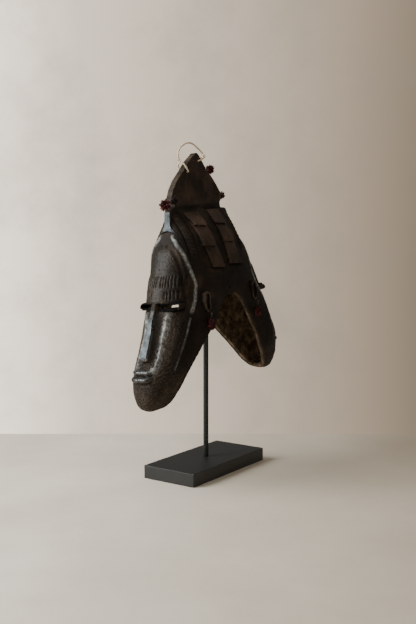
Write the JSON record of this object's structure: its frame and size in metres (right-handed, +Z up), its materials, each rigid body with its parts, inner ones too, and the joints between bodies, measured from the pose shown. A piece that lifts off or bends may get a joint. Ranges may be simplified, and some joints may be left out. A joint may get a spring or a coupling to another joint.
{
  "type": "carved wooden mask on a stand",
  "caption": "Carved dark wooden helmet mask with two long faces under a flat crest, trimmed with sheet, wool tassels and a cord loop, resting on a post with a flat base.",
  "frame": {"origin": "middle of the base's underside, on the post's axis", "axes": "+Z up along the post, -Y towards the near face of the mask, +X to that face's left hand side as it looks out, which is a viewer's right"},
  "size_m": [0.1545, 0.4373, 0.6316],
  "materials": {
    "carved_wood": "dark waxed patina, worn brown at the edges",
    "black_steel": "satin black",
    "painted_wood": "satin black paint",
    "grey_sheet": "dull, hand burnished",
    "red_wool": "matt wool",
    "pale_fibre": "dry twisted plant fibre",
    "brown_fibre": "dry plant fibre",
    "felt": "felt"
  },
  "bodies": {
    "stand": {"base_block": "painted_wood", "post": "black_steel"},
    "swivel_head": {"swivel_cap": "black_steel", "felt_pad": "felt"},
    "mask": {"carved_helmet": "carved_wood", "near_crest_plate": "grey_sheet", "far_crest_plate": "grey_sheet", "near_nose_plate": "grey_sheet", "far_nose_plate": "grey_sheet", "near_cord_lashing": "pale_fibre", "far_cord_lashing": "pale_fibre", "near_crest_tie": "brown_fibre", "upper_far_crest_tie": "brown_fibre", "lower_far_crest_tie": "brown_fibre", "near_left_ear_tie": "brown_fibre", "near_right_ear_tie": "brown_fibre", "far_left_ear_tie": "brown_fibre", "far_right_ear_tie": "brown_fibre"},
    "hanging_loop": {"hanging_cord": "pale_fibre", "near_cord_knot": "pale_fibre", "far_cord_knot": "pale_fibre"},
    "near_crest_ball": {"near_crest_tassel": "red_wool"},
    "upper_far_crest_ball": {"upper_far_crest_tassel": "red_wool"},
    "lower_far_crest_ball": {"lower_far_crest_tassel": "red_wool"},
    "near_left_ear_ball": {"near_left_ear_tassel": "red_wool"},
    "near_right_ear_ball": {"near_right_ear_tassel": "red_wool"},
    "far_left_ear_ball": {"far_left_ear_tassel": "red_wool"},
    "far_right_ear_ball": {"far_right_ear_tassel": "red_wool"}
  },
  "joints": [
    {"name": "mask_swivel", "type": "hinge", "parent": "stand", "child": "swivel_head", "pos_m": [0, 0, 0.43], "axis": [0, 0, 1], "continuous": true},
    {"name": "mask_lift", "type": "slide", "parent": "swivel_head", "child": "mask", "axis": [0, 0, 1], "range_m": [0, 0.3]},
    {"name": "loop_swing", "type": "hinge", "parent": "mask", "child": "hanging_loop", "pos_m": [-0.00761, -0.07538, 0.59556], "axis": [-0.0072, 0.9872, 0.1595], "range_deg": [-75, 75]},
    {"name": "near_crest_give", "type": "hinge", "parent": "mask", "child": "near_crest_ball", "pos_m": [-0.00157, -0.11861, 0.51767], "axis": [0.999, 0, 0.0454], "range_deg": [-15, 15], "stiffness_Nm_per_rad": 0.02},
    {"name": "upper_far_crest_give", "type": "hinge", "parent": "mask", "child": "upper_far_crest_ball", "pos_m": [-0.00534, 0.0084, 0.58244], "axis": [0.999, 0, 0.0454], "range_deg": [-6, 15], "stiffness_Nm_per_rad": 0.02},
    {"name": "lower_far_crest_give", "type": "hinge", "parent": "mask", "child": "lower_far_crest_ball", "pos_m": [-0.00685, 0.05436, 0.53722], "axis": [0.999, 0, 0.0454], "range_deg": [-15, 15], "stiffness_Nm_per_rad": 0.02},
    {"name": "near_left_ear_swing", "type": "hinge", "parent": "mask", "child": "near_left_ear_ball", "pos_m": [-0.06484, -0.08847, 0.30477], "axis": [1, 0, 0], "range_deg": [-25, 25]},
    {"name": "near_right_ear_swing", "type": "hinge", "parent": "mask", "child": "near_right_ear_ball", "pos_m": [0.07502, -0.08847, 0.31062], "axis": [1, 0, 0], "range_deg": [-25, 25]},
    {"name": "far_left_ear_swing", "type": "hinge", "parent": "mask", "child": "far_left_ear_ball", "pos_m": [-0.06543, 0.07201, 0.31767], "axis": [1, 0, 0], "range_deg": [-25, 25]},
    {"name": "far_right_ear_swing", "type": "hinge", "parent": "mask", "child": "far_right_ear_ball", "pos_m": [0.07444, 0.07201, 0.32352], "axis": [1, 0, 0], "range_deg": [-25, 25]}
  ]
}
